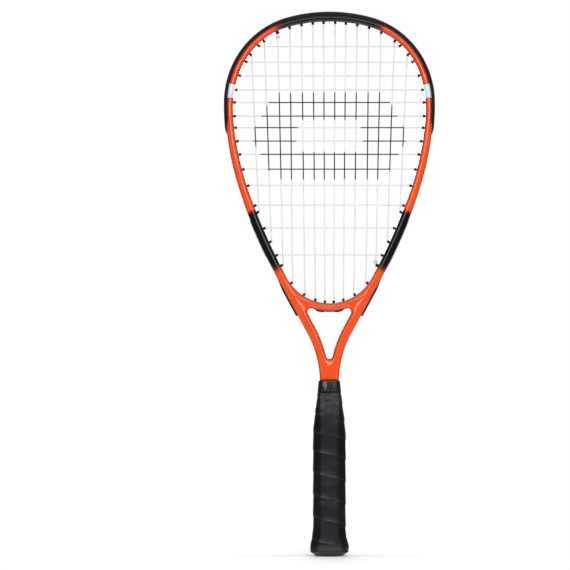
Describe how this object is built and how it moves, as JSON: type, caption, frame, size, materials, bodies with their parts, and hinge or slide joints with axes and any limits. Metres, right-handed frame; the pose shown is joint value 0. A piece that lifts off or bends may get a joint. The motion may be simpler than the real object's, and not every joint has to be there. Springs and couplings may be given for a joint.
{
  "type": "ricochet racket",
  "caption": "Strung ricochet racket with a teardrop head, open throat, slotted bumper guard and wrapped, flared octagonal grip.",
  "frame": {"origin": "middle of the butt cap's flat end, which is the lowest point", "axes": "+Z along the handle towards the head, +X across the head to the right as seen from the front, -Y out of the front face"},
  "size_m": [0.2228, 0.0366, 0.575],
  "materials": {
    "lacquer": "clear-coated orange-red paint with airbrushed black fades and a white block",
    "nylon": "satin moulded black nylon",
    "string": "smooth white synthetic string with a stencilled black area",
    "grip_tape": "matte black synthetic leather, cushioned",
    "finishing_tape": "glossy black tape",
    "butt_rubber": "matte moulded black rubber",
    "handle_foam": "plain moulded rigid foam",
    "fastener_steel": "bright drawn steel wire"
  },
  "bodies": {
    "root": {"frame": "lacquer", "bumper_guard": "nylon", "side_grommet_strip_left": "nylon", "side_grommet_strip_right": "nylon", "lower_grommet_strip_left": "nylon", "lower_grommet_strip_right": "nylon", "bridge_grommet_strip": "nylon", "string": "string", "handle_pallet_front": "handle_foam", "handle_pallet_back": "handle_foam", "butt_cap": "butt_rubber", "butt_cap_staple_left": "fastener_steel", "butt_cap_staple_right": "fastener_steel", "grip_start_tack": "fastener_steel", "base_grip_tape": "grip_tape", "finishing_tape": "finishing_tape"}
  },
  "joints": []
}
